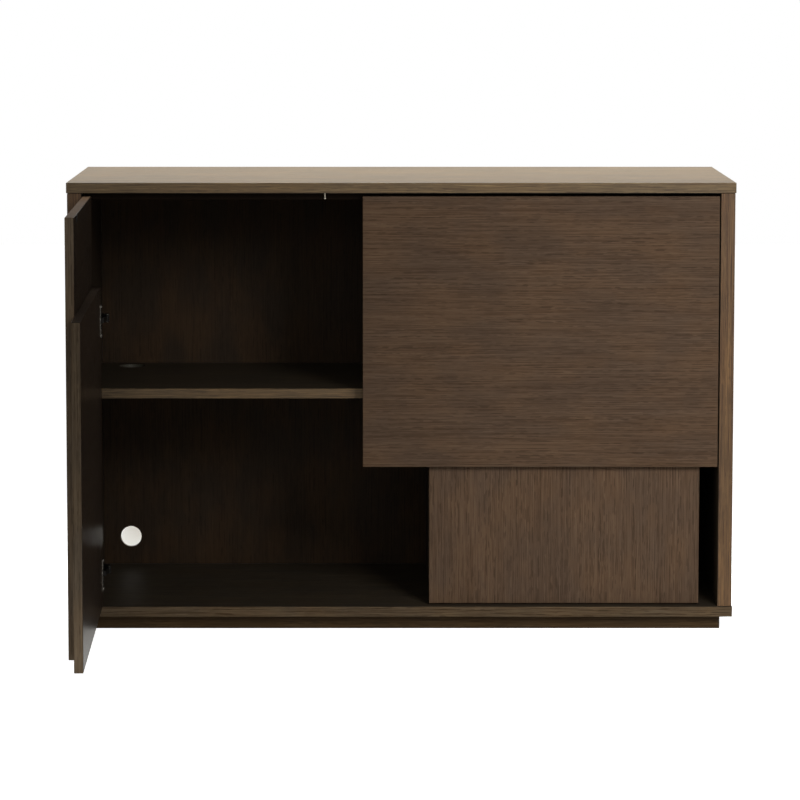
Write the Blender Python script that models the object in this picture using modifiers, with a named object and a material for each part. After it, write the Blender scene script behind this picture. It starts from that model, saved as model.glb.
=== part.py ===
"""Sideboard with two doors, each laminated from two offset leaves.

Blender script, metres, +Z up. The front faces -Y, and the origin lies on the floor under
the middle of the plinth. The left door stands open and the right door is shut.

Depths are measured back from the front edge of the top. A door and its hinges are laid out
as they are when it is shut, in from the side panel that carries them. An empty on the door's
axis then turns the door, and one on each cup pin turns the hinge link.
"""

import math

import bmesh
import bpy
from mathutils import Matrix, Vector

# Carcass
WIDTH = 1.200
DEPTH = 0.461
HEIGHT = 0.813
BOARD = 0.019
SIDE_BOARD = 0.0255
SIDE_INSET = 0.0015
SIDE_SETBACK = 0.001
EDGE = 0.0007
SEAT = 0.0003

# Plinth
PLINTH_HEIGHT = 0.025
PLINTH_FRONT_INSET = 0.020
PLINTH_SIDE_INSET = 0.021

# Back panel and its cable outlet
BACK_BOARD = 0.008
BACK_INSET = 0.015
OUTLET_RADIUS = 0.020
OUTLET_FROM_SIDE = 0.053
OUTLET_FROM_FLOOR = 0.054

# Divider, shelves and their pegs, and the cable hole in the left shelf
DIVIDER_LEFT_FACE = 0.051
INNER_SETBACK = 0.041
SHELF_BOARD = 0.018
LEFT_SHELF_FROM_FLOOR = 0.3925
RIGHT_SHELF_ABOVE_HINGE = 0.0915
SHELF_CLEARANCE = 0.001
SHELF_HOLE_RADIUS = 0.025
SHELF_HOLE_FROM_SIDE = 0.061
SHELF_HOLE_FROM_BACK = 0.050
PEG_RADIUS = 0.0025
PEG_LENGTH = 0.018
PEG_SUNK = 0.008
PEG_FROM_SHELF_EDGE = 0.050

# Stop rail, and the left door's catch and strike
RAIL_HEIGHT = 0.013
RAIL_FRONT = 0.0255
RAIL_BOARD = 0.0150
CATCH_BALL_RADIUS = 0.0025
CATCH_NECK_RADIUS = 0.0015
CATCH_LENGTH = 0.0125
CATCH_FROM_FREE_EDGE = 0.0655
STRIKE_WIDTH = 0.014
STRIKE_HEIGHT = 0.011
STRIKE_THICKNESS = 0.001

# Doors
LEAF = 0.0155
DOOR_SETBACK = 0.002
DOOR_SIDE_GAP = 0.002
DOOR_TOP_GAP = 0.006
DOOR_BOTTOM_GAP = 0.0025
BACK_LEAF_HEIGHT = 0.579
LEFT_FRONT_LEAF_WIDTH = 0.4995
LEFT_BACK_LEAF_WIDTH = 0.605
RIGHT_FRONT_LEAF_WIDTH = 0.640
RIGHT_FRONT_LEAF_HEIGHT = 0.489
RIGHT_BACK_LEAF_GAP = 0.033
LEFT_DOOR_OPEN = math.radians(88.5)
FULL_SWING = math.radians(88.5)
AXIS_INSET = 0.0041

# Concealed hinges: cup and flange, let into the door
LEFT_HINGE_FROM_LEAF_BOTTOM = 0.058
LEFT_HINGE_FROM_LEAF_TOP = 0.0605
RIGHT_HINGE_FROM_LEAF_BOTTOM = 0.046
RIGHT_HINGE_FROM_LEAF_TOP = 0.068
CUP_RADIUS = 0.0175
CUP_WALL = 0.0012
CUP_DEPTH = 0.0115
CUP_FROM_DOOR_END = 0.0030
FLANGE_HEIGHT = 0.060
FLANGE_WIDTH = 0.024
FLANGE_THICKNESS = 0.0012
FLANGE_CORNER = 0.004
FLANGE_RELIEF = 0.002
PIN_RADIUS = 0.0015
PIN_FROM_DOOR_END = 0.0080
PIN_BELOW_DOOR_FACE = 0.0025

# Hinge link
LINK_HEIGHT = 0.009
LINK_EYE_HEIGHT = 0.010
LINK_THICKNESS = 0.0024
LINK_CRANK = 0.0065
LINK_CRANK_ANGLE = math.radians(-72)
LINK_EYE_RADIUS = 0.0026
LINK_END_RADIUS = 0.0022
RUNNING_GAP = 0.0002

# Hinge arm and mounting plate, on the side panel
ARM_HEIGHT = 0.013
ARM_THICKNESS = 0.004
NOSE_RADIUS = 0.003
NOSE_CLEARANCE = 0.001
FORK_LENGTH = 0.013
NOSE_RUN = 0.016
CRANK_RUN = 0.020
BASE_RUN = 0.028
BASE_FROM_SIDE = 0.014
LEFT_NOSE_FROM_SIDE = 0.042
RIGHT_NOSE_FROM_SIDE = 0.028
PLATE_LENGTH = 0.024
PLATE_HEIGHT = 0.044
PLATE_THICKNESS = 0.003
SADDLE_HEIGHT = 0.016

# Lines that several pieces share
FRONT = -DEPTH / 2
SIDE_FACE = WIDTH / 2 - SIDE_INSET - SIDE_BOARD
FLOOR = PLINTH_HEIGHT + BOARD
CEILING = HEIGHT - BOARD
BACK_FACE = DEPTH - BACK_INSET - BACK_BOARD
DIVIDER_RIGHT_FACE = DIVIDER_LEFT_FACE + BOARD
DOOR_BOTTOM = FLOOR + DOOR_BOTTOM_GAP
DOOR_TOP = CEILING - DOOR_TOP_GAP
BACK_LEAF_TOP = DOOR_BOTTOM + BACK_LEAF_HEIGHT
RIGHT_FRONT_LEAF_BOTTOM = DOOR_TOP - RIGHT_FRONT_LEAF_HEIGHT
RIGHT_LOW_HINGE = RIGHT_FRONT_LEAF_BOTTOM + RIGHT_HINGE_FROM_LEAF_BOTTOM
LEFT_SHELF_TOP = FLOOR + LEFT_SHELF_FROM_FLOOR
RIGHT_SHELF_TOP = RIGHT_LOW_HINGE + RIGHT_SHELF_ABOVE_HINGE
BACK_LEAF_FRONT = DOOR_SETBACK + LEAF + SEAT
AXIS_FROM_SIDE = DOOR_SIDE_GAP + AXIS_INSET
AXIS_DEPTH = DOOR_SETBACK + AXIS_INSET
CUP_CENTRE_FROM_SIDE = DOOR_SIDE_GAP + CUP_FROM_DOOR_END + CUP_RADIUS
CATCH_DEPTH = BACK_LEAF_FRONT + STRIKE_THICKNESS + SEAT + CATCH_BALL_RADIUS
MORE = 0.002
ROUND_SIDES = 32
SMALL_SIDES = 16


def cleared_collections(*titles):
    """Empties the scene, and makes its collections."""
    for thing in list(bpy.data.objects):
        bpy.data.objects.remove(thing, do_unlink=True)
    made = [bpy.data.collections.new(title) for title in titles]
    for collection in made:
        bpy.context.scene.collection.children.link(collection)
    return made


def principled(name, colour, roughness, metallic=0.0):
    material = bpy.data.materials.new(name)
    material.use_nodes = True
    shader = material.node_tree.nodes["Principled BSDF"]
    shader.inputs["Base Color"].default_value = (*colour, 1.0)
    shader.inputs["Roughness"].default_value = roughness
    shader.inputs["Metallic"].default_value = metallic
    return material


MODEL, CUTTERS = cleared_collections("sideboard", "cutters")
VENEER = principled("dark_veneer", (0.085, 0.050, 0.030), 0.45)
SHELF_VENEER = principled("shelf_veneer", (0.080, 0.048, 0.029), 0.50)
BACK_VENEER = principled("back_veneer", (0.075, 0.045, 0.028), 0.55)
STEEL = principled("nickel_steel", (0.62, 0.61, 0.58), 0.30, 1.0)
DARK_STEEL = principled("dark_steel", (0.10, 0.095, 0.09), 0.35, 1.0)


# Meshes


def mesh_of(name, shape):
    mesh = bpy.data.meshes.new(name)
    shape.to_mesh(mesh)
    shape.free()
    return mesh


def box_mesh(name, size):
    shape = bmesh.new()
    bmesh.ops.create_cube(shape, size=1.0)
    bmesh.ops.scale(shape, vec=size, verts=shape.verts)
    return mesh_of(name, shape)


def rod_mesh(name, radius, length, axis="Z", sides=SMALL_SIDES):
    """A cylinder centred on its origin, along the named axis."""
    shape = bmesh.new()
    bmesh.ops.create_cone(
        shape, cap_ends=True, segments=sides, radius1=radius, radius2=radius, depth=length
    )
    turns = {"X": Matrix.Rotation(math.pi / 2, 3, "Y"), "Y": Matrix.Rotation(math.pi / 2, 3, "X")}
    if axis in turns:
        bmesh.ops.rotate(shape, verts=shape.verts, cent=(0, 0, 0), matrix=turns[axis])
    mesh = mesh_of(name, shape)
    mesh.shade_smooth()
    mesh.set_sharp_from_angle(angle=math.radians(40))
    return mesh


def outline_mesh(name, points, height):
    """A flat outline in XY, made as thick as height along Z."""
    curve = bpy.data.curves.new(name, "CURVE")
    curve.dimensions = "2D"
    curve.fill_mode = "BOTH"
    curve.extrude = height / 2
    line = curve.splines.new("POLY")
    line.points.add(len(points) - 1)
    for point, (x, y) in zip(line.points, points):
        point.co = (x, y, 0.0, 1.0)
    line.use_cyclic_u = True
    source = bpy.data.objects.new(name, curve)
    MODEL.objects.link(source)
    graph = bpy.context.evaluated_depsgraph_get()
    mesh = bpy.data.meshes.new_from_object(source.evaluated_get(graph))
    bpy.data.objects.remove(source, do_unlink=True)
    shape = bmesh.new()
    shape.from_mesh(mesh)
    bmesh.ops.remove_doubles(shape, verts=shape.verts, dist=1e-6)
    bmesh.ops.recalc_face_normals(shape, faces=shape.faces)
    shape.to_mesh(mesh)
    shape.free()
    return mesh


def strap_outline(path, thickness):
    """The outline of a bent strip, mitred where it turns."""
    sides = ([], [])
    for i, here in enumerate(path):
        before = (here - path[i - 1]).normalized() if i else None
        after = (path[i + 1] - here).normalized() if i + 1 < len(path) else None
        along = ((before or after) + (after or before)).normalized()
        across = Vector((-along.y, along.x))
        slant = along.dot(before or after)
        for side, sign in zip(sides, (1, -1)):
            side.append(here + across * sign * thickness / 2 / slant)
    return sides[0] + sides[1][::-1]


# Objects


def place(name, mesh, material, location, parent=None):
    """A piece of the model, where location is in the shut pose."""
    piece = bpy.data.objects.new(name, mesh)
    MODEL.objects.link(piece)
    mesh.materials.clear()
    mesh.materials.append(material)
    piece.parent = parent
    piece.location = Vector(location) - (Vector(parent["shut_at"]) if parent else Vector())
    return piece


def board(name, low, high, material=VENEER, parent=None, edge=EDGE):
    """A panel between two corners, with its edges eased."""
    low, high = Vector(low), Vector(high)
    piece = place(name, box_mesh(name, high - low), material, (low + high) / 2, parent)
    eased = piece.modifiers.new("eased_edges", "BEVEL")
    eased.width = edge
    eased.segments = 1
    return piece


def combine(target, operation, name, mesh, location):
    """Cuts or joins target with a hidden shape at location, in the shut pose."""
    tool = bpy.data.objects.new(name, mesh)
    CUTTERS.objects.link(tool)
    tool.hide_render = True
    tool.display_type = "WIRE"
    tool.parent = target
    origin = Vector(target.location)
    if target.parent:
        origin += Vector(target.parent["shut_at"])
    tool.location = Vector(location) - origin
    modifier = target.modifiers.new(name, "BOOLEAN")
    modifier.operation = operation
    modifier.solver = "EXACT"
    modifier.object = tool


def hole(target, name, radius, length, axis, location, sides=ROUND_SIDES):
    combine(target, "DIFFERENCE", name, rod_mesh(name, radius, length, axis, sides), location)


def turning_empty(name, shut_at, angle, parent=None):
    """An empty on a vertical axis. Its children are placed by where they lie when shut."""
    empty = bpy.data.objects.new(name, None)
    MODEL.objects.link(empty)
    empty["shut_at"] = shut_at
    empty.parent = parent
    empty.location = Vector(shut_at) - (Vector(parent["shut_at"]) if parent else Vector())
    empty.rotation_euler.z = angle
    return empty


# Carcass


def depth(distance):
    """The Y of a point that lies this far behind the front edge of the top."""
    return FRONT + distance


def carcass():
    half = WIDTH / 2
    for name, bottom in (("top_panel", CEILING), ("bottom_panel", PLINTH_HEIGHT)):
        board(name, (-half, FRONT, bottom), (half, -FRONT, bottom + BOARD))
    low, high = FLOOR + SEAT, CEILING - SEAT
    sides = {}
    for side, sign in (("left", -1), ("right", 1)):
        near, far = sorted((sign * SIDE_FACE, sign * (half - SIDE_INSET)))
        sides[side] = board(
            f"{side}_side_panel",
            (near, depth(SIDE_SETBACK), low),
            (far, -FRONT - SIDE_SETBACK, high),
        )
    inside = SIDE_FACE - SEAT
    back = board(
        "back_panel",
        (-inside, depth(BACK_FACE), low),
        (inside, depth(BACK_FACE + BACK_BOARD), high),
        BACK_VENEER,
    )
    centre = (
        OUTLET_FROM_SIDE - SIDE_FACE,
        depth(BACK_FACE + BACK_BOARD / 2),
        FLOOR + OUTLET_FROM_FLOOR,
    )
    hole(back, "cable_outlet", OUTLET_RADIUS, BACK_BOARD + MORE, "Y", centre)
    divider = board(
        "centre_divider",
        (DIVIDER_LEFT_FACE, depth(INNER_SETBACK), low),
        (DIVIDER_RIGHT_FACE, depth(BACK_FACE - SEAT), high),
    )
    board(
        "stop_rail",
        (-inside, depth(RAIL_FRONT), CEILING - RAIL_HEIGHT),
        (inside, depth(RAIL_FRONT + RAIL_BOARD), high),
    )
    return sides, divider


def plinth():
    end = WIDTH / 2 - PLINTH_SIDE_INSET
    front, back = depth(PLINTH_FRONT_INSET), -depth(PLINTH_FRONT_INSET)
    top = PLINTH_HEIGHT - SEAT
    board("plinth_front", (-end, front, 0), (end, front + BOARD, top))
    board("plinth_back", (-end, back - BOARD, 0), (end, back, top))
    inner_front, inner_back = front + BOARD + SEAT, back - BOARD - SEAT
    for name, middle in (
        ("plinth_left", -end + BOARD / 2),
        ("plinth_centre", 0.0),
        ("plinth_right", end - BOARD / 2),
    ):
        board(
            name,
            (middle - BOARD / 2, inner_front, 0),
            (middle + BOARD / 2, inner_back, top),
        )


def shelf(side, top, left_face, right_face, walls):
    """A loose shelf between two walls, on four pegs."""
    front, back = INNER_SETBACK, BACK_FACE - SEAT
    underside = top - SHELF_BOARD
    plank = board(
        f"{side}_shelf",
        (left_face + SHELF_CLEARANCE, depth(front), underside),
        (right_face - SHELF_CLEARANCE, depth(back), top),
        SHELF_VENEER,
    )
    peg_height = underside - SEAT - PEG_RADIUS
    for end, face, sign in (("left", left_face, 1), ("right", right_face, -1)):
        for row, place_in in (("front", front), ("back", back)):
            inward = PEG_FROM_SHELF_EDGE if row == "front" else -PEG_FROM_SHELF_EDGE
            y = depth(place_in + inward)
            name = f"{side}_shelf_peg_{end}_{row}"
            x = face + sign * (PEG_LENGTH / 2 - PEG_SUNK)
            place(name, rod_mesh(name, PEG_RADIUS, PEG_LENGTH, "X"), STEEL, (x, y, peg_height))
            hole(
                walls[end],
                f"{name}_hole",
                PEG_RADIUS + SEAT,
                2 * (PEG_SUNK + SEAT),
                "X",
                (face, y, peg_height),
                SMALL_SIDES,
            )
    return plank


# Doors


class Side:
    """Where things lie on the left or the right, going in from that side panel's inner face."""

    def __init__(self, name, sign):
        self.name = name
        self.sign = sign

    def x(self, from_side):
        return self.sign * (SIDE_FACE - from_side)

    def point(self, from_side, behind_front, height):
        return Vector((self.x(from_side), depth(behind_front), height))

    def corners(self, near, far, front, back, bottom, top):
        first, last = sorted((self.x(near), self.x(far)))
        return (first, depth(front), bottom), (last, depth(back), top)


LEFT = Side("left", -1)
RIGHT = Side("right", 1)


def catch(side, free_edge):
    """A steel catch pin with a ball end, hung from the top where the strike meets it."""
    ball, neck = CATCH_BALL_RADIUS, CATCH_NECK_RADIUS
    name = f"{side.name}_catch"
    profile = bmesh.new()
    steps = SMALL_SIDES // 2
    first = math.acos(neck / ball)
    points = [(0.0, 0.0), (neck, 0.0)]
    for step in range(steps + 1):
        angle = first - (first + math.pi / 2) * step / steps
        points.append((ball * math.cos(angle), ball - CATCH_LENGTH + ball * math.sin(angle)))
    corners = [profile.verts.new((x, 0.0, z)) for x, z in points]
    for pair in zip(corners, corners[1:]):
        profile.edges.new(pair)
    location = side.point(free_edge - CATCH_FROM_FREE_EDGE, CATCH_DEPTH, CEILING - SEAT)
    piece = place(name, mesh_of(name, profile), STEEL, location)
    turned = piece.modifiers.new("turned", "SCREW")
    turned.steps = turned.render_steps = ROUND_SIDES
    turned.use_merge_vertices = True
    turned.merge_threshold = 0.00001
    turned.use_smooth_shade = True


def strike(side, free_edge, door):
    """A thin steel plate on the back of the front leaf, which meets the catch."""
    middle = free_edge - CATCH_FROM_FREE_EDGE
    front = BACK_LEAF_FRONT
    board(
        f"{side.name}_strike",
        *side.corners(
            middle - STRIKE_WIDTH / 2,
            middle + STRIKE_WIDTH / 2,
            front,
            front + STRIKE_THICKNESS,
            DOOR_TOP - EDGE - STRIKE_HEIGHT,
            DOOR_TOP - EDGE,
        ),
        DARK_STEEL,
        door,
        EDGE / 3,
    )


def cup_bore(side, leaf, label, height, door_face):
    """The round pocket that takes a hinge cup."""
    deep = CUP_DEPTH + SEAT
    name = f"{side.name}_{label}_cup_bore"
    centre = side.point(CUP_CENTRE_FROM_SIDE, door_face - deep / 2 + MORE / 2, height)
    hole(leaf, name, CUP_RADIUS + SEAT, deep + MORE, "Y", centre)


def hinge_cup(side, label, height, door_face, door):
    """A pressed cup with its flange, and the pin across its mouth."""
    name = f"{side.name}_hinge_{label}_cup"
    flange_back = door_face + SEAT + FLANGE_THICKNESS
    centre = side.point(CUP_CENTRE_FROM_SIDE, door_face + SEAT + FLANGE_THICKNESS / 2, height)
    size = (FLANGE_WIDTH, FLANGE_THICKNESS, FLANGE_HEIGHT)
    piece = place(name, box_mesh(name, size), DARK_STEEL, centre, door)
    round_corners(piece, FLANGE_CORNER)
    outside = CUP_DEPTH + SEAT + FLANGE_THICKNESS / 2
    inside = outside - CUP_WALL
    middle = flange_back - FLANGE_THICKNESS / 2
    for operation, part_name, radius, deep, extra in (
        ("UNION", "shell", CUP_RADIUS, outside, 0.0),
        ("DIFFERENCE", "hollow", CUP_RADIUS - CUP_WALL, inside, MORE),
    ):
        combine(
            piece,
            operation,
            f"{name}_{part_name}",
            rod_mesh(part_name, radius, deep + extra, "Y", ROUND_SIDES),
            side.point(CUP_CENTRE_FROM_SIDE, middle - deep / 2 + extra / 2, height),
        )
    off_centre = CUP_CENTRE_FROM_SIDE - DOOR_SIDE_GAP - PIN_FROM_DOOR_END
    half_pin = math.sqrt(CUP_RADIUS**2 - (off_centre + PIN_RADIUS) ** 2) - SEAT
    combine(
        piece,
        "UNION",
        f"{name}_pin",
        rod_mesh("pin", PIN_RADIUS, 2 * half_pin, "Z"),
        cup_pin(side, door_face, height),
    )


def round_corners(piece, radius):
    """Rounds the flange's four corners, seen from the door's inside."""
    mesh = piece.data
    shape = bmesh.new()
    shape.from_mesh(mesh)
    edges = [edge for edge in shape.edges if edge.verts[0].co.y * edge.verts[1].co.y < 0]
    bmesh.ops.bevel(shape, geom=edges, offset=radius, segments=4, profile=0.5, affect="EDGES")
    shape.to_mesh(mesh)
    shape.free()


def cup_pin(side, door_face, height):
    return side.point(DOOR_SIDE_GAP + PIN_FROM_DOOR_END, door_face - PIN_BELOW_DOOR_FACE, height)


def arm_nose(side, nose_from_side, door_face, height):
    behind = door_face + SEAT + FLANGE_THICKNESS + NOSE_CLEARANCE + NOSE_RADIUS
    return side.point(nose_from_side, behind, height)


def turned_about_axis(side, point, swing):
    """Where a point of the shut door lies once the door has opened by swing."""
    axis = side.point(AXIS_FROM_SIDE, AXIS_DEPTH, point.z)
    return axis + Matrix.Rotation(side.sign * swing, 3, "Z") @ (point - axis)


def heading(start, end):
    return math.atan2(end.y - start.y, end.x - start.x)


def hinge_link(side, label, height, door_face, nose_from_side, door, opened):
    """The cranked link from the cup pin to the fork of the arm.

    It is as long as it needs to be to reach the fork at rest. Its free end leaves the fork
    in mid swing, because the door's axis stands in for the four-bar's moving one.
    """
    name = f"{side.name}_hinge_{label}_link"
    pin = cup_pin(side, door_face, height)
    nose = arm_nose(side, nose_from_side, door_face, height)
    pin_now = turned_about_axis(side, pin, opened)
    length = (nose - pin_now).length
    turn = heading(pin_now, nose) - side.sign * opened
    carrier = turning_empty(f"{name}_axis", pin, turn, door)
    crank = Vector((math.cos(LINK_CRANK_ANGLE), math.sin(LINK_CRANK_ANGLE))) * LINK_CRANK
    if side.sign > 0:
        crank.y = -crank.y
    path = [Vector((0.0, 0.0)), crank, Vector((length, 0.0))]
    strap = outline_mesh(name, strap_outline(path, LINK_THICKNESS), LINK_HEIGHT)
    piece = place(name, strap, DARK_STEEL, pin, carrier)
    for part_name, radius, x in (("eye", LINK_EYE_RADIUS, 0.0), ("end", LINK_END_RADIUS, length)):
        mesh = rod_mesh(part_name, radius, LINK_EYE_HEIGHT, "Z")
        combine(piece, "UNION", f"{name}_{part_name}", mesh, pin + Vector((x, 0, 0)))
    hole(
        piece,
        f"{name}_bore",
        PIN_RADIUS + RUNNING_GAP,
        LINK_EYE_HEIGHT + MORE,
        "Z",
        pin,
        SMALL_SIDES,
    )


def hinge_arm(side, label, height, door_face, nose_from_side):
    """The cranked arm, with a fork at its nose, and the plate that holds it to the side panel."""
    name = f"{side.name}_hinge_{label}_arm"
    nose = arm_nose(side, nose_from_side, door_face, height)
    outward = side.sign
    crank = (nose_from_side - BASE_FROM_SIDE) * outward
    path = [
        Vector((0.0, 0.0)),
        Vector((0.0, NOSE_RUN)),
        Vector((crank, NOSE_RUN + CRANK_RUN)),
        Vector((crank, NOSE_RUN + CRANK_RUN + BASE_RUN)),
    ]
    strap = outline_mesh(name, strap_outline(path, ARM_THICKNESS), ARM_HEIGHT)
    arm = place(name, strap, DARK_STEEL, nose)
    combine(arm, "UNION", f"{name}_nose", rod_mesh("nose", NOSE_RADIUS, ARM_HEIGHT, "Z"), nose)
    fork = box_mesh("fork", (4 * NOSE_RADIUS, FORK_LENGTH + 2 * NOSE_RADIUS, LINK_EYE_HEIGHT + 2 * SEAT))
    middle = nose + Vector((0, FORK_LENGTH / 2 - NOSE_RADIUS, 0))
    combine(arm, "DIFFERENCE", f"{name}_fork", fork, middle)
    reach = nose.y - FRONT + NOSE_RUN + CRANK_RUN
    front, back = reach + MORE, reach + MORE + PLATE_LENGTH
    plate_name = f"{side.name}_hinge_{label}_plate"
    low, high = side.corners(
        SEAT,
        SEAT + PLATE_THICKNESS,
        front,
        back,
        height - PLATE_HEIGHT / 2,
        height + PLATE_HEIGHT / 2,
    )
    plate = board(plate_name, low, high, DARK_STEEL)
    saddle_top = BASE_FROM_SIDE - ARM_THICKNESS / 2 - SEAT
    near = SEAT + PLATE_THICKNESS / 2
    saddle = box_mesh("saddle", (saddle_top - near, back - front - 2 * MORE, SADDLE_HEIGHT))
    centre = side.point((saddle_top + near) / 2, (front + back) / 2, height)
    combine(plate, "UNION", f"{plate_name}_saddle", saddle, centre)


def left_door():
    """Its back leaf reaches past its front leaf and goes in behind the right door's front leaf."""
    axis = LEFT.point(AXIS_FROM_SIDE, AXIS_DEPTH, 0)
    door = turning_empty("left_door_axis", axis, -LEFT_DOOR_OPEN)
    free_edge = DOOR_SIDE_GAP + LEFT_FRONT_LEAF_WIDTH
    spans = {
        "front": (free_edge, DOOR_SETBACK, DOOR_TOP),
        "back": (DOOR_SIDE_GAP + LEFT_BACK_LEAF_WIDTH, BACK_LEAF_FRONT, BACK_LEAF_TOP),
    }
    leaves = {}
    for label, (far, face, top) in spans.items():
        low, high = LEFT.corners(DOOR_SIDE_GAP, far, face, face + LEAF, DOOR_BOTTOM, top)
        leaves[label] = board(f"left_door_{label}_leaf", low, high, VENEER, door)
    door_face = BACK_LEAF_FRONT + LEAF
    heights = {
        "low": DOOR_BOTTOM + LEFT_HINGE_FROM_LEAF_BOTTOM,
        "high": BACK_LEAF_TOP - LEFT_HINGE_FROM_LEAF_TOP,
    }
    for label, height in heights.items():
        cup_bore(LEFT, leaves["back"], label, height, door_face)
        hinge_cup(LEFT, label, height, door_face, door)
        hinge_link(LEFT, label, height, door_face, LEFT_NOSE_FROM_SIDE, door, LEFT_DOOR_OPEN)
        hinge_arm(LEFT, label, height, door_face, LEFT_NOSE_FROM_SIDE)
    strike(LEFT, free_edge, door)
    catch(LEFT, free_edge)


def right_door():
    """Its back leaf stops short of the side panel, and gives way to the hinge behind the front leaf."""
    axis = RIGHT.point(AXIS_FROM_SIDE, AXIS_DEPTH, 0)
    door = turning_empty("right_door_axis", axis, 0.0)
    free_edge = DOOR_SIDE_GAP + RIGHT_FRONT_LEAF_WIDTH
    door_face = DOOR_SETBACK + LEAF
    front_box = RIGHT.corners(
        DOOR_SIDE_GAP, free_edge, DOOR_SETBACK, door_face, RIGHT_FRONT_LEAF_BOTTOM, DOOR_TOP
    )
    front_leaf = board("right_door_front_leaf", *front_box, VENEER, door)
    back_box = RIGHT.corners(
        RIGHT_BACK_LEAF_GAP,
        SIDE_FACE - DIVIDER_LEFT_FACE,
        BACK_LEAF_FRONT,
        BACK_LEAF_FRONT + LEAF,
        DOOR_BOTTOM,
        BACK_LEAF_TOP,
    )
    back_leaf = board("right_door_back_leaf", *back_box, VENEER, door)
    heights = {
        "low": RIGHT_LOW_HINGE,
        "high": DOOR_TOP - RIGHT_HINGE_FROM_LEAF_TOP,
    }
    relief_width = 2 * (CUP_CENTRE_FROM_SIDE + CUP_RADIUS + FLANGE_RELIEF - RIGHT_BACK_LEAF_GAP)
    relief = box_mesh("relief", (relief_width, LEAF + MORE, FLANGE_HEIGHT + 2 * FLANGE_RELIEF))
    relief_at = RIGHT.point(RIGHT_BACK_LEAF_GAP, BACK_LEAF_FRONT + LEAF / 2, heights["low"])
    combine(back_leaf, "DIFFERENCE", "hinge_relief", relief, relief_at)
    for label, height in heights.items():
        cup_bore(RIGHT, front_leaf, label, height, door_face)
        hinge_cup(RIGHT, label, height, door_face, door)
        hinge_link(RIGHT, label, height, door_face, RIGHT_NOSE_FROM_SIDE, door, 0.0)
        hinge_arm(RIGHT, label, height, door_face, RIGHT_NOSE_FROM_SIDE)


side_panels, divider_panel = carcass()
plinth()
left_shelf = shelf(
    "left",
    LEFT_SHELF_TOP,
    -SIDE_FACE,
    DIVIDER_LEFT_FACE,
    {"left": side_panels["left"], "right": divider_panel},
)
hole(
    left_shelf,
    "shelf_cable_hole",
    SHELF_HOLE_RADIUS,
    SHELF_BOARD + MORE,
    "Z",
    (
        SHELF_HOLE_FROM_SIDE - SIDE_FACE,
        depth(BACK_FACE - SHELF_HOLE_FROM_BACK),
        LEFT_SHELF_TOP - SHELF_BOARD / 2,
    ),
)
shelf(
    "right",
    RIGHT_SHELF_TOP,
    DIVIDER_RIGHT_FACE,
    SIDE_FACE,
    {"left": divider_panel, "right": side_panels["right"]},
)
left_door()
right_door()
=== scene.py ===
"""Looks of the sideboard: veneer, board edges, fastenings, light and camera."""

import math

import bmesh
import bpy
from mathutils import Matrix, Vector


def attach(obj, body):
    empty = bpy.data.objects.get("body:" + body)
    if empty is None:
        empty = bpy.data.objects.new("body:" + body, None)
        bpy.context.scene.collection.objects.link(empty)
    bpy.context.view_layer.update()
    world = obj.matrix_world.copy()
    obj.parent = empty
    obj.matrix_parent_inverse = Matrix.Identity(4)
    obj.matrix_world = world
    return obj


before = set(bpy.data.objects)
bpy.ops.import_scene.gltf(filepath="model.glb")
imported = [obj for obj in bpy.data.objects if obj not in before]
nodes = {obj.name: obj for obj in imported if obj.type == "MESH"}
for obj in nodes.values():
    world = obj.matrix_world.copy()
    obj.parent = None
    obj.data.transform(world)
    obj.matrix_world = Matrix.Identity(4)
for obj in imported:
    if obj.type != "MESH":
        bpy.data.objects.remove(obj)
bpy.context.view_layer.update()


# Node trees


def srgb(*levels):
    """A linear colour from sRGB levels of 0 to 255."""
    linear = []
    for level in levels:
        value = level / 255
        linear.append(value / 12.92 if value <= 0.04045 else ((value + 0.055) / 1.055) ** 2.4)
    return (*linear, 1.0)


class Nodes:
    """Adds nodes to a tree and links them by name."""

    def __init__(self, tree):
        self.tree = tree

    def node(self, kind, inputs=(), **settings):
        made = self.tree.nodes.new("ShaderNode" + kind)
        for key, value in settings.items():
            setattr(made, key, value)
        for key, value in dict(inputs).items():
            self.feed(made.inputs[key], value)
        return made

    def feed(self, socket, value):
        if isinstance(value, bpy.types.NodeSocket):
            self.tree.links.new(value, socket)
        else:
            socket.default_value = value

    def math(self, operation, a, b=0.0, clamp=False):
        made = self.node("Math", {0: a, 1: b}, operation=operation, use_clamp=clamp)
        return made.outputs[0]

    def dot(self, a, b):
        made = self.node("VectorMath", {0: a, 1: b}, operation="DOT_PRODUCT")
        return made.outputs["Value"]

    def noise(self, vector, scale, detail, roughness=0.5):
        made = self.node(
            "TexNoise",
            {"Vector": vector, "Scale": scale, "Detail": detail, "Roughness": roughness},
        )
        return made.outputs["Fac"]

    def grain(self, place, along, repeats, shift, detail, roughness=0.5):
        """Noise drawn out along one axis, with its repeats in a metre along and across it."""
        along_repeats, across_repeats = repeats
        scale = [across_repeats] * 3
        scale["XYZ".index(along)] = along_repeats
        made = self.node("Mapping", {"Vector": place, "Location": shift, "Scale": scale})
        return self.noise(made.outputs["Vector"], 1.0, detail, roughness)

    def levels(self, value, low, high, to_low=0.0, to_high=1.0):
        made = self.node(
            "MapRange",
            {
                "Value": value,
                "From Min": low,
                "From Max": high,
                "To Min": to_low,
                "To Max": to_high,
            },
        )
        return made.outputs["Result"]

    def mix(self, factor, a, b, blend="MIX"):
        """Mixes colours. Their sockets come after those of the node's other kinds of data."""
        made = self.node("Mix", data_type="RGBA", blend_type=blend)
        self.feed(made.inputs[0], factor)
        self.feed(made.inputs[6], a)
        self.feed(made.inputs[7], b)
        return made.outputs[2]

    def times(self, colour, factors):
        """A colour with its red, green and blue multiplied."""
        return self.mix(1.0, colour, (*factors, 1.0), "MULTIPLY")


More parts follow.
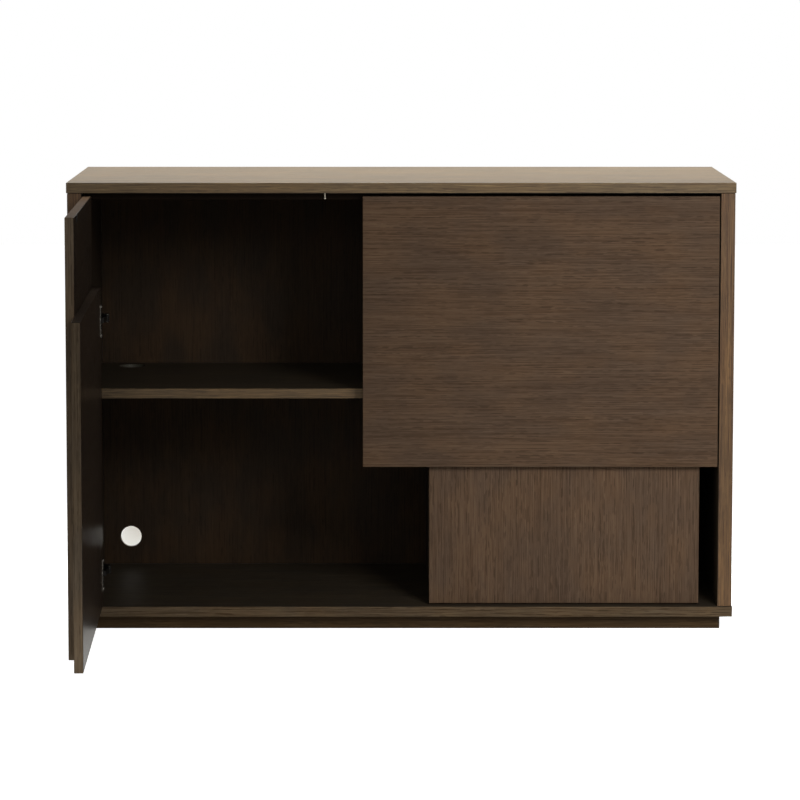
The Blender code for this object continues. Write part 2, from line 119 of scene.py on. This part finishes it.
class Shader(Nodes):
    """The nodes of a new material."""

    def __init__(self, name):
        self.material = bpy.data.materials.new(name)
        self.material.use_nodes = True
        super().__init__(self.material.node_tree)
        self.principled = self.tree.nodes["Principled BSDF"]

    def finish(self, colour, roughness):
        self.feed(self.principled.inputs["Base Color"], colour)
        self.feed(self.principled.inputs["Roughness"], roughness)

    def specular(self, level):
        self.principled.inputs["Specular IOR Level"].default_value = level

    def bump(self, height, strength, distance):
        made = self.node("Bump", {"Height": height, "Strength": strength, "Distance": distance})
        self.feed(self.principled.inputs["Normal"], made.outputs["Normal"])


# Veneer. BASE is a linear colour. OLIVE, GREY_BROWN and the factor of the inside's painted shade
# are factors of it, and DARKER, LIGHTER and TINT change it by these shares.

BASE = (0.0680, 0.0360, 0.0165)
OLIVE = (1.0, 1.15, 1.22)
GREY_BROWN = (1.195, 1.42, 1.98)
DARKER = (-0.52, -0.60, -0.68)
LIGHTER = (0.56, 0.60, 0.57)
TINT = (0.085, 0.060, 0.018)
# Painted shade: this factor darkens the faces that look into the cabinet, as in its shaded inside.
INSIDE_PAINTED_SHADE = (0.225, 0.252, 0.295)
LEAST_TONE = 0.05
PORE_TONE = 0.3

# Repeats in a metre along the fibres and across them

WANDER = (1.5, 5.0)
CLOUD = (9.0, 20.0)
DRIFT = (0.9, 50.0)
STREAK = (11.0, 800.0)
LINE = (9.0, 1150.0)
LINE_BREAKS = (34.0, 190.0)
FIBRE = (40.0, 1500.0)
PORE = (5.0, 880.0)
PORE_BREAKS = (48.0, 260.0)

# The span of each noise that is drawn out to its full effect

NOISE_SPAN = (0.3, 0.7)
TONE_SPAN = (0.34, 0.66)
CLOUD_SPAN = (0.38, 0.62)
LINE_BREAKS_SPAN = (0.38, 0.58)
PORE_SPAN = (0.52, 0.60)
PORE_BREAKS_SPAN = (0.47, 0.55)

MIDDLE = 0.5
SEED_STEPS = (3.1, 1.7, 2.3)
PORE_SHIFT = (0.4, 0.9, 0.2)
PORE_BREAKS_SHIFT = (0.1, 0.5, 0.7)
BEND = 0.0010
COARSE = 0.6
LINE_CONTRAST = 2.9
DRIFT_SHARE, STREAK_SHARE, LINE_SHARE = 0.12, 0.32, 0.56
PORE_STRENGTH = 0.5
STREAK_HEIGHT = 0.5
SMOOTHER, ROUGHER = 0.05, 0.07

# Cosines of a face's turn to a direction, and how far a bore's wall may lie from its radius

FACING = 0.7
SIDEWAYS = 0.5
HOLE_MARGIN = 0.0008


def streaks(shader, bent, along, shift):
    """The grain's tone from 0 to 1, and its broader streaks alone."""
    drift = shader.grain(bent, along, DRIFT, shift, detail=3.0)
    streak = shader.grain(bent, along, STREAK, shift, detail=2.0, roughness=COARSE)
    line = shader.grain(bent, along, LINE, shift, detail=2.0, roughness=COARSE)
    gate = shader.grain(bent, along, LINE_BREAKS, shift, detail=2.0)
    shown = shader.levels(gate, *LINE_BREAKS_SPAN)
    swing = shader.math("MULTIPLY", shader.math("SUBTRACT", line, MIDDLE), shown)
    dash = shader.math("ADD", shader.math("MULTIPLY", swing, LINE_CONTRAST), MIDDLE)
    tone = 0.0
    for part, weight in ((drift, DRIFT_SHARE), (streak, STREAK_SHARE), (dash, LINE_SHARE)):
        share = shader.math("MULTIPLY", shader.levels(part, *TONE_SPAN), weight)
        tone = shader.math("ADD", share, tone)
    return tone, streak


def pore_marks(shader, bent, along):
    """Fine broken lines, as how far they darken the colour."""
    pore = shader.grain(bent, along, PORE, PORE_SHIFT, detail=1.0)
    breaks = shader.grain(bent, along, PORE_BREAKS, PORE_BREAKS_SHIFT, detail=1.0)
    shown = shader.levels(breaks, *PORE_BREAKS_SPAN, to_high=PORE_STRENGTH)
    return shader.math("MULTIPLY", shader.levels(pore, *PORE_SPAN), shown)


def looks_towards(shader, normal, direction):
    """1 on the faces that look in a direction, and 0 on the others."""
    return shader.math("GREATER_THAN", shader.dot(normal, direction), FACING)


def bore_wall(shader, place, normal, axis, centre, radius):
    """1 on the wall of a hole through the board, and 0 on its faces."""
    keep = tuple(0.0 if letter == axis else 1.0 for letter in "XYZ")
    flat = shader.node("VectorMath", {0: place, 1: keep}, operation="MULTIPLY").outputs[0]
    middle = tuple(a * b for a, b in zip(centre, keep))
    away = shader.node("VectorMath", {0: flat, 1: middle}, operation="DISTANCE")
    near = shader.math("LESS_THAN", away.outputs["Value"], radius + HOLE_MARGIN)
    tilt = shader.math("ABSOLUTE", shader.dot(normal, tuple(1.0 - value for value in keep)))
    return shader.math("MULTIPLY", near, shader.math("LESS_THAN", tilt, SIDEWAYS))


def veneer(
    name,
    along,
    shade=1.0,
    roughness=0.46,
    seed=0.0,
    specular=0.22,
    hue=(1.0, 1.0, 1.0),
    inner=(),
    outer=None,
    bore=None,
    inner_roughness=0.08,
    inner_shade=1.0,
    figure=1.0,
    mottle=1.0,
    edge=None,
):
    """Straight-grained veneer, with fibres and pores that run along one axis.

    Streaks are about a millimetre wide and several centimetres long, finer lines among them come
    and go, pores are short dark lines, and tone and tint drift slowly across the leaves. Shade
    and hue are factors of the base colour, figure is the grain's contrast, and mottle the tint's.
    Faces that look along inner, or all but those that look along outer, get painted shade: their
    colour is darkened like the shaded inside of the cabinet, with inner_shade as a further factor.
    A bore, as its axis, centre, radius and two colours, has those colours on its wall. An edge, as
    a direction and a colour's factors, changes the colour of the faces that look that way.
    """
    shader = Shader(name)
    coordinates = shader.node("TexCoord")
    place, normal = coordinates.outputs["Object"], coordinates.outputs["Normal"]
    shift = tuple(seed * step for step in SEED_STEPS)
    wander = shader.grain(place, along, WANDER, shift, detail=2.0)
    bend = shader.math("MULTIPLY", shader.math("SUBTRACT", wander, MIDDLE), BEND)
    aside = shader.node("CombineXYZ", {"X": bend, "Y": bend, "Z": bend}).outputs[0]
    bent = shader.node("VectorMath", {0: place, 1: aside}).outputs[0]
    tone, streak = streaks(shader, bent, along, shift)
    pores = pore_marks(shader, bent, along)
    base = tuple(channel * shade * share for channel, share in zip(BASE, hue))
    dark, light = (
        tuple(channel * max(1.0 + figure * swing, LEAST_TONE) for channel, swing in zip(base, ends))
        for ends in (DARKER, LIGHTER)
    )
    colour = shader.mix(tone, (*dark, 1.0), (*light, 1.0))
    cool, warm = (
        (*(1.0 + side * mottle * channel for channel in TINT), 1.0) for side in (-1.0, 1.0)
    )
    cloud = shader.grain(place, along, CLOUD, shift, detail=4.0)
    tint = shader.mix(shader.levels(cloud, *CLOUD_SPAN), cool, warm)
    colour = shader.mix(1.0, colour, tint, "MULTIPLY")
    pore_colour = (*(channel * PORE_TONE for channel in base), 1.0)
    colour = shader.mix(pores, colour, pore_colour)
    fibre = shader.grain(bent, along, FIBRE, shift, detail=3.0, roughness=COARSE)
    rough = shader.levels(fibre, *NOISE_SPAN, roughness - SMOOTHER, roughness + ROUGHER)
    # Painted shade: faces that look into the cabinet are darkened, as if in the shade of its
    # inside.
    if inner or outer:
        turned_in = 0.0
        for direction in inner or (outer,):
            faces = looks_towards(shader, normal, direction)
            turned_in = shader.math("MAXIMUM", faces, turned_in)
        if outer:
            turned_in = shader.math("SUBTRACT", 1.0, turned_in)
        inside_shaded = shader.times(colour, tuple(inner_shade * channel for channel in INSIDE_PAINTED_SHADE))
        colour = shader.mix(turned_in, colour, inside_shaded)
        added = shader.math("MULTIPLY", turned_in, inner_roughness)
        rough = shader.math("ADD", rough, added, clamp=True)
    if edge:
        direction, factors = edge
        faces = looks_towards(shader, normal, direction)
        colour = shader.mix(faces, colour, shader.times(colour, factors))
    if bore:
        axis, centre, radius, pale, dim = bore
        speck = shader.noise(place, scale=700.0, detail=4.0, roughness=0.7)
        wall = bore_wall(shader, place, normal, axis, centre, radius)
        colour = shader.mix(wall, colour, shader.mix(speck, dim, pale))
    shader.finish(colour, rough)
    shader.specular(specular)
    height = shader.math("SUBTRACT", shader.math("MULTIPLY", streak, STREAK_HEIGHT), pores)
    shader.bump(height, strength=0.15, distance=0.0003)
    return shader.material


# Metal, and the painted shade of the seam

CLOUDED = 0.78
METAL_SMOOTHER, METAL_ROUGHER = 0.06, 0.08
WORN_SPAN = (0.45, 0.75)
SPECK_SPAN = (0.2, 0.8)


def plated_steel(name, colour, roughness):
    """Bright nickel plate with faint tumbling marks."""
    shader = Shader(name)
    place = shader.node("TexCoord").outputs["Object"]
    mark = shader.noise(place, scale=900.0, detail=3.0, roughness=COARSE)
    cloud = shader.noise(place, scale=60.0, detail=2.0)
    darker = tuple(channel * CLOUDED for channel in colour) + (1.0,)
    low, high = roughness - METAL_SMOOTHER, roughness + METAL_ROUGHER
    rough = shader.levels(mark, *NOISE_SPAN, low, high)
    shader.finish(shader.mix(cloud, darker, (*colour, 1.0)), rough)
    shader.principled.inputs["Metallic"].default_value = 1.0
    shader.bump(mark, strength=0.08, distance=0.0002)
    return shader.material


def blackened_steel(name):
    """Dark oxide finish with worn, slightly lighter patches."""
    shader = Shader(name)
    place = shader.node("TexCoord").outputs["Object"]
    worn = shader.noise(place, scale=220.0, detail=4.0, roughness=COARSE)
    colour = shader.mix(shader.levels(worn, *WORN_SPAN), srgb(14, 13, 12), srgb(34, 32, 29))
    shader.finish(colour, shader.levels(worn, *NOISE_SPAN, to_low=0.46, to_high=0.34))
    shader.specular(0.15)
    shader.bump(worn, strength=0.1, distance=0.0002)
    return shader.material


def seam_painted_shade(name):
    """Painted shade for the seam: a dark colour with dull specks."""
    shader = Shader(name)
    place = shader.node("TexCoord").outputs["Object"]
    speck = shader.noise(place, scale=400.0, detail=3.0)
    colour = shader.mix(speck, srgb(24, 18, 14), srgb(44, 34, 27))
    shader.finish(colour, shader.levels(speck, *SPECK_SPAN, to_low=0.6, to_high=0.85))
    return shader.material


BRIGHT_STEEL = plated_steel("nickel_plate", (0.62, 0.60, 0.55), 0.26)
CATCH_STEEL = plated_steel("catch_plate", (0.40, 0.37, 0.31), 0.34)
CUP_STEEL = plated_steel("cup_plate", (0.15, 0.14, 0.125), 0.22)
BLACK_STEEL = blackened_steel("black_oxide")


# The finish of each CAD node

LEFTWARDS = (-1.0, 0.0, 0.0)
RIGHTWARDS = (1.0, 0.0, 0.0)
FORWARDS = (0.0, -1.0, 0.0)
BACKWARDS = (0.0, 1.0, 0.0)
UPWARDS = (0.0, 0.0, 1.0)
DOWNWARDS = (0.0, 0.0, -1.0)

SEED_COUNT, SEED_SCALE = 97, 10

# Holes, as axis, centre, radius, and the wall's pale and dim colours

OUTLET = ("Y", (-0.520, 0.2115, 0.098), 0.020, srgb(168, 158, 142), srgb(92, 84, 72))
SHELF_HOLE = ("Z", (-0.512, 0.1575, 0.4275), 0.025, srgb(66, 63, 53), srgb(34, 32, 27))

# How the boards' veneers differ, in the words of the veneer function. Faces named by inner, or all
# but those named by outer, get painted shade.

SHELF = {"along": "X", "shade": 1.03, "hue": OLIVE, "outer": FORWARDS, "figure": 2.5}
SIDE = {"along": "Z", "shade": 1.24, "hue": (1.02, 1.05, 1.0), "figure": 1.6}
PLINTH = {"shade": 0.66, "roughness": 0.5, "specular": 0.06, "hue": (1.06, 1.22, 1.25)}
LEFT_DOOR = {
    "along": "Z",
    "specular": 0.01,
    "hue": GREY_BROWN,
    "inner_roughness": -0.18,
    "inner_shade": 0.9,
    "figure": 0.7,
}
RIGHT_DOOR = {"specular": 0.02, "hue": GREY_BROWN, "inner": (BACKWARDS,), "figure": 0.62}

BOARDS = {
    "left_shelf": {**SHELF, "bore": SHELF_HOLE},
    "right_shelf": SHELF,
    # The back panel's shade of 0.36 is painted shade, the darkness of the cabinet's inside, on all
    # its faces.
    "back_panel": {
        "along": "Z",
        "shade": 0.36,
        "roughness": 0.60,
        "specular": 0.08,
        "hue": (1.0, 1.10, 1.22),
        "bore": OUTLET,
        "figure": 0.5,
        "mottle": 2.2,
    },
    "left_side_panel": {**SIDE, "inner": (RIGHTWARDS,)},
    "right_side_panel": {**SIDE, "inner": (LEFTWARDS,)},
    "centre_divider": {"along": "Z", "outer": FORWARDS},
    "top_panel": {
        "along": "X",
        "shade": 1.52,
        "roughness": 0.40,
        "hue": (1.0, 1.24, 1.32),
        "inner": (DOWNWARDS,),
        "figure": 1.5,
    },
    "bottom_panel": {
        "along": "X",
        "shade": 1.40,
        "specular": 0.015,
        "hue": (1.0, 1.32, 1.77),
        "inner": (UPWARDS,),
        "inner_roughness": 0.04,
        "inner_shade": 1.5,
        "figure": 1.1,
    },
    # The stop rail's shade of 0.08 is painted shade, for the shadow under the top.
    "stop_rail": {"along": "X", "shade": 0.08, "roughness": 0.65, "specular": 0.04},
    "left_door_front_leaf": {
        **LEFT_DOOR,
        "shade": 1.02,
        "inner": (RIGHTWARDS,),
        "edge": (FORWARDS, (1.31, 1.54, 1.65)),
    },
    "left_door_back_leaf": {
        **LEFT_DOOR,
        "shade": 1.13,
        "inner": (RIGHTWARDS, UPWARDS),
        "edge": (FORWARDS, (0.86, 1.02, 1.09)),
    },
    "right_door_front_leaf": {**RIGHT_DOOR, "along": "X", "shade": 1.03},
    "right_door_back_leaf": {**RIGHT_DOOR, "along": "Z", "shade": 1.14},
    "plinth_front": {**PLINTH, "along": "X"},
    "plinth_back": {**PLINTH, "along": "X"},
    "plinth_left": {**PLINTH, "along": "Y"},
    "plinth_right": {**PLINTH, "along": "Y"},
    "plinth_centre": {**PLINTH, "along": "Y"},
}


def finish_of(name):
    """The material of a CAD node. Each board's grain starts at a place of its own."""
    if name.endswith("_cup"):
        return CUP_STEEL
    if "hinge" in name or "strike" in name:
        return BLACK_STEEL
    if "catch" in name:
        return CATCH_STEEL
    if "peg" in name:
        return BRIGHT_STEEL
    seed = sum(ord(letter) for letter in name) % SEED_COUNT / SEED_SCALE
    return veneer(name, seed=seed, **BOARDS[name])


for name, node in nodes.items():
    node.data.materials.clear()
    node.data.materials.append(finish_of(name))


# Screws, rivets and the seam's dark bead of painted shade, which the solids leave out. Sizes are
# radius and height.

CUP_SCREW = (0.0033, 0.0011)
PLATE_SCREW = (0.0034, 0.0012)
ARM_SCREW = (0.0030, 0.0012)
BACK_SCREW = (0.0035, 0.0013)
ARM_RIVET = (0.0019, 0.0006)

# Profiles of the heads, as shares of the radius and of the height

PAN_HEAD = ((1.0, 0.0), (1.0, 0.35), (0.9, 0.75), (0.66, 1.0))
DOMED_HEAD = ((1.0, 0.0), (0.97, 0.4), (0.78, 0.85), (0.5, 1.0), (0.2, 0.8))
CROSS_ARM, CROSS_HALF_WIDTH, CROSS_TAPER, CROSS_FLOOR = 0.52, 0.14, 0.7, 0.25

SMOOTH_BELOW = math.radians(35)
LEFT_DOOR_TURN = math.radians(-88.5)
CUP_SCREW_SPACING = 0.026
PLATE_SCREW_SPACING = 0.0155
WING_THICKNESS = 0.003
ARM_ABOVE_PLATE = 0.0043
ARM_SCREWS_FROM_END = (("fixing", 0.006), ("adjusting", 0.0205))
RIVET_FROM_NOSE = 0.003
BACK_SCREW_HEIGHTS = (0.085, 0.305, 0.535, 0.755)
SEAM_WIDTH = 0.00028
SEAM_CLEARANCE = 0.00001
SEAM_FROM_FACE = 0.0004
ACROSS, DEEP, UP = Vector(RIGHTWARDS), Vector(BACKWARDS), Vector(UPWARDS)


def reach(name, direction):
    """How far a CAD node reaches along a direction, as its lowest and highest value."""
    node = nodes[name]
    values = [(node.matrix_world @ vertex.co).dot(direction) for vertex in node.data.vertices]
    return min(values), max(values)


def middle_of(name, direction):
    """The vector along a direction to a CAD node's middle."""
    return direction * sum(reach(name, direction)) / 2


def new_piece(name, shape, material, body, smooth=True):
    """Makes an object of a bmesh with its material, and hangs it on a body."""
    bmesh.ops.recalc_face_normals(shape, faces=shape.faces)
    mesh = bpy.data.meshes.new(name)
    shape.to_mesh(mesh)
    shape.free()
    if smooth:
        mesh.shade_smooth()
        mesh.set_sharp_from_angle(angle=SMOOTH_BELOW)
    mesh.materials.append(material)
    piece = bpy.data.objects.new(name, mesh)
    bpy.context.scene.collection.objects.link(piece)
    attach(piece, body)


def ring(shape, radius, height, sides=32):
    """A round row of vertices, with its edges."""
    row = []
    for step in range(sides):
        turn = 2 * math.pi * step / sides
        row.append(shape.verts.new((radius * math.cos(turn), radius * math.sin(turn), height)))
    edges = [shape.edges.new((row[step - 1], row[step])) for step in range(sides)]
    return row, edges


def turned(shape, profile, radius, height):
    """Faces between rings, from the base up. Returns the edges of the last ring."""
    rows = [ring(shape, share * radius, rise * height) for share, rise in profile]
    shape.faces.new(list(reversed(rows[0][0])))
    for (low, _), (high, _) in zip(rows, rows[1:]):
        for step in range(len(low)):
            shape.faces.new((low[step - 1], low[step], high[step], high[step - 1]))
    return rows[-1][1]


def cross_head(shape, radius, height):
    """A pan head with a crosshead recess that narrows towards its floor."""
    rim = turned(shape, PAN_HEAD, radius, height)
    arm, half, floor = CROSS_ARM * radius, CROSS_HALF_WIDTH * radius, CROSS_FLOOR * height
    corners = []
    for quarter in range(4):
        turn = Matrix.Rotation(math.radians(90 * quarter), 3, "Z")
        for x, y in ((half, half), (half, arm), (-half, arm)):
            corners.append(turn @ Vector((x, y, 0.0)))
    top = [shape.verts.new((x, y, height)) for x, y, _ in corners]
    bottom = [shape.verts.new((CROSS_TAPER * x, CROSS_TAPER * y, floor)) for x, y, _ in corners]
    mouth = [shape.edges.new((top[step - 1], top[step])) for step in range(len(top))]
    for step in range(len(top)):
        shape.faces.new((top[step - 1], top[step], bottom[step], bottom[step - 1]))
    shape.faces.new(bottom)
    bmesh.ops.triangle_fill(shape, use_beauty=True, use_dissolve=True, edges=rim + mouth)


def rivet_head(shape, radius, height):
    """A low domed rivet head, with the dimple that the peening leaves."""
    rim = turned(shape, DOMED_HEAD, radius, height)
    bmesh.ops.contextual_create(shape, geom=rim)


def fastener(name, head, size, point, direction, material, body, turn=0.0):
    """A head on a surface at a point, which looks along a direction and is turned about it."""
    shape = bmesh.new()
    head(shape, *size)
    facing = Vector(direction).to_track_quat("Z", "Y").to_matrix().to_4x4()
    spin = Matrix.Rotation(turn, 4, "Z")
    bmesh.ops.transform(shape, matrix=Matrix.Translation(point) @ facing @ spin, verts=shape.verts)
    new_piece(name, shape, material, body)


def dress_hinge(hinge, side, inward, turn):
    """The screws and rivets of a hinge, whose door stands turned by an angle."""
    cup, arm, plate = f"{hinge}_cup", f"{hinge}_arm", f"{hinge}_plate"
    off_door = Matrix.Rotation(turn, 3, "Z") @ DEEP
    along_door = Matrix.Rotation(turn, 3, "Z") @ Vector((inward, 0.0, 0.0))
    off_side = Vector((inward, 0.0, 0.0))
    ends = (("bottom", -1), ("top", 1))

    centre = off_door * reach(cup, off_door)[1] + middle_of(cup, along_door) + middle_of(cup, UP)
    for place, sign in ends:
        point = centre + UP * sign * CUP_SCREW_SPACING
        screw = (f"{cup}_screw_{place}", cross_head, CUP_SCREW, point, off_door)
        fastener(*screw, CUP_STEEL, f"{side}_door", turn=0.4 * sign)

    face = off_side * (reach(plate, off_side)[0] + WING_THICKNESS)
    centre = face + (middle_of(plate, UP) + middle_of(plate, DEEP))
    for place, sign in ends:
        point = centre + UP * sign * PLATE_SCREW_SPACING
        screw = (f"{plate}_screw_{place}", cross_head, PLATE_SCREW, point, off_side)
        fastener(*screw, BRIGHT_STEEL, "carcass", turn=0.3 + 0.5 * sign)

    back_end = reach(arm, DEEP)[1]
    on_arm = off_side * (reach(plate, off_side)[1] + ARM_ABOVE_PLATE) + middle_of(arm, UP)
    for place, from_end in ARM_SCREWS_FROM_END:
        point = on_arm + DEEP * (back_end - from_end)
        screw = (f"{arm}_screw_{place}", cross_head, ARM_SCREW, point, off_side)
        fastener(*screw, BRIGHT_STEEL, "carcass", turn=90 * from_end)

    top_of_arm, front_of_arm = reach(arm, off_side)[1], reach(arm, DEEP)[0]
    nose = off_side * (top_of_arm - RIVET_FROM_NOSE) + DEEP * (front_of_arm + RIVET_FROM_NOSE)
    low, high = reach(arm, UP)
    for place, height, out in (("bottom", low, -UP), ("top", high, UP)):
        rivet = (f"{arm}_rivet_{place}", rivet_head, ARM_RIVET, nose + UP * height, out)
        fastener(*rivet, BRIGHT_STEEL, "carcass")


for side, inward, turn in (("left", 1.0, LEFT_DOOR_TURN), ("right", -1.0, 0.0)):
    for label in ("low", "high"):
        dress_hinge(f"{side}_hinge_{label}", side, inward, turn)

divider_middle = sum(reach("centre_divider", ACROSS)) / 2
back_face = reach("back_panel", DEEP)[1]
for number, height in enumerate(BACK_SCREW_HEIGHTS):
    point = (divider_middle, back_face, height)
    screw = (f"back_panel_screw_{number + 1}", cross_head, BACK_SCREW, point, DEEP)
    fastener(*screw, BRIGHT_STEEL, "carcass", turn=0.6 * number)


def seam_bead():
    """A dark bead in the seam between the back panel and the cabinet: painted shade for a closed
    joint, which also stops light through the gap.
    """
    axes = (ACROSS, DEEP, UP)
    (left, right), (front, back), (low, high) = (reach("back_panel", axis) for axis in axes)
    shape = bmesh.new()
    loops = []
    for y in (front + SEAM_FROM_FACE, back - SEAM_FROM_FACE):
        for grow in (SEAM_CLEARANCE, SEAM_WIDTH):
            x_low, x_high, z_low, z_high = left - grow, right + grow, low - grow, high + grow
            corners = ((x_low, z_low), (x_high, z_low), (x_high, z_high), (x_low, z_high))
            loops.append([shape.verts.new((x, y, z)) for x, z in corners])
    for one, other in ((0, 1), (1, 3), (3, 2), (2, 0)):
        near, far = loops[one], loops[other]
        for step in range(len(near)):
            shape.faces.new((near[step - 1], near[step], far[step], far[step - 1]))
    seam_shade = seam_painted_shade("seam_painted_shade")
    new_piece("back_panel_seam", shape, seam_shade, "carcass", smooth=False)


seam_bead()


# Stage, camera and light

WHITE = (1.0, 1.0, 1.0, 1.0)
WARM = (1.0, 0.968, 0.905, 1.0)
FLOOR_WHITE = (0.80, 0.80, 0.80, 1.0)
FLOOR_ROUGHNESS = 0.9
FLOOR_GLOW = 0.91
FLOOR_HALF_SIZE = 8.0
AMBIENT = 0.12

# A painted shadow on the floor behind the cabinet, with the distances where it starts and is full

FLOOR_PAINTED_SHADOW = (0.18, 0.125, 0.04, 1.0)
SHADE_SIDES = (0.69, 0.55)
SHADE_FRONT = (-0.1, 0.25)
SHADE_BACK = (1.35, 0.85)

LENS = 154.51
SENSOR_WIDTH = 36.0
SHIFT = (0.0231, -0.12)
CAMERA_PLACE = (-0.0353, -6.3630, 1.2219)
CAMERA_PITCH = 5.838


def seen_directly(tree):
    """1 for camera, mirror and glass rays, and 0 for the light that falls on things."""
    path = tree.node("LightPath").outputs
    total = tree.math("MAXIMUM", path["Is Camera Ray"], path["Is Glossy Ray"])
    return tree.math("MAXIMUM", total, path["Is Transmission Ray"])


def white_or_warm(tree):
    """White for the camera, and the room's warm white in reflections."""
    return tree.mix(tree.node("LightPath").outputs["Is Glossy Ray"], WHITE, WARM)


def behind_the_cabinet(tree):
    """1 on the floor close behind the cabinet, where its shadow is painted, and 0 a little way off.
    """
    place = tree.node("NewGeometry").outputs["Position"]
    parts = tree.node("SeparateXYZ", {"Vector": place}).outputs
    aside = tree.math("ABSOLUTE", parts["X"])
    total = 1.0
    for value, (outside, inside) in (
        (aside, SHADE_SIDES),
        (parts["Y"], SHADE_FRONT),
        (parts["Y"], SHADE_BACK),
    ):
        ends = {"Value": value, "From Min": outside, "From Max": inside}
        soft = tree.node("MapRange", ends, interpolation_type="SMOOTHSTEP")
        total = tree.math("MULTIPLY", soft.outputs["Result"], total)
    return total


def white_when_seen(shader, strength):
    """Adds white to the surface where it is seen, so that only its shadows and a painted shadow
    behind the cabinet stay below white.
    """
    colour = shader.mix(behind_the_cabinet(shader), white_or_warm(shader), FLOOR_PAINTED_SHADOW)
    power = shader.math("MULTIPLY", seen_directly(shader), strength)
    glow = shader.node("Emission", {"Color": colour, "Strength": power})
    both = shader.node("AddShader", {0: shader.principled.outputs[0], 1: glow.outputs[0]})
    shader.feed(shader.tree.nodes["Material Output"].inputs["Surface"], both.outputs[0])


floor_mesh = bpy.data.meshes.new("floor")
floor_shape = bmesh.new()
bmesh.ops.create_grid(floor_shape, x_segments=1, y_segments=1, size=FLOOR_HALF_SIZE)
floor_shape.to_mesh(floor_mesh)
floor_shape.free()
floor = bpy.data.objects.new("floor", floor_mesh)
bpy.context.scene.collection.objects.link(floor)
floor_white = Shader("floor_white")
floor_white.finish(FLOOR_WHITE, FLOOR_ROUGHNESS)
white_when_seen(floor_white, FLOOR_GLOW)
floor.data.materials.append(floor_white.material)

camera_data = bpy.data.cameras.new("camera")
camera_data.sensor_fit = "HORIZONTAL"
camera_data.sensor_width = SENSOR_WIDTH
camera_data.lens = LENS
camera_data.shift_x, camera_data.shift_y = SHIFT
camera = bpy.data.objects.new("camera", camera_data)
camera.location = CAMERA_PLACE
camera.rotation_euler = (math.radians(90 - CAMERA_PITCH), 0.0, 0.0)
bpy.context.scene.collection.objects.link(camera)
bpy.context.scene.camera = camera

world = bpy.data.worlds.new("studio")
bpy.context.scene.world = world
world.use_nodes = True
sky = Nodes(world.node_tree)
background = world.node_tree.nodes["Background"].inputs
sky.feed(background["Color"], white_or_warm(sky))
sky.feed(background["Strength"], sky.levels(seen_directly(sky), 0.0, 1.0, AMBIENT, 1.0))


def soft_box(name, location, target, size, power, spread=180):
    """A rectangular lamp that looks at a target, with its watts and its spread in degrees."""
    data = bpy.data.lights.new(name, "AREA")
    data.shape = "RECTANGLE"
    data.size, data.size_y = size
    data.energy = power
    data.spread = math.radians(spread)
    lamp = bpy.data.objects.new(name, data)
    lamp.location = location
    lamp.rotation_euler = (Vector(target) - Vector(location)).to_track_quat("-Z", "Y").to_euler()
    bpy.context.scene.collection.objects.link(lamp)
    return lamp


soft_box("key", (1.3, -2.9, 1.9), (0.75, 0.0, 0.5), (1.0, 1.0), 10.4, spread=60)
soft_box("front", (-0.3, -4.6, 2.2), (-0.1, 0.0, 0.4), (1.6, 1.6), 24.5)
overhead = soft_box("overhead", (0.1, 0.15, 2.2), (0.1, 0.15, 0.8), (2.0, 0.6), 11.6, spread=60)
overhead.data.color = (0.96, 1.03, 1.08)
bounce = soft_box("bounce", (-0.56, -1.02, 0.012), (-0.56, -0.95, 0.4), (0.26, 0.16), 0.9)
bounce.visible_camera = False
bounce.visible_glossy = False

bpy.context.scene.view_settings.view_transform = "Standard"
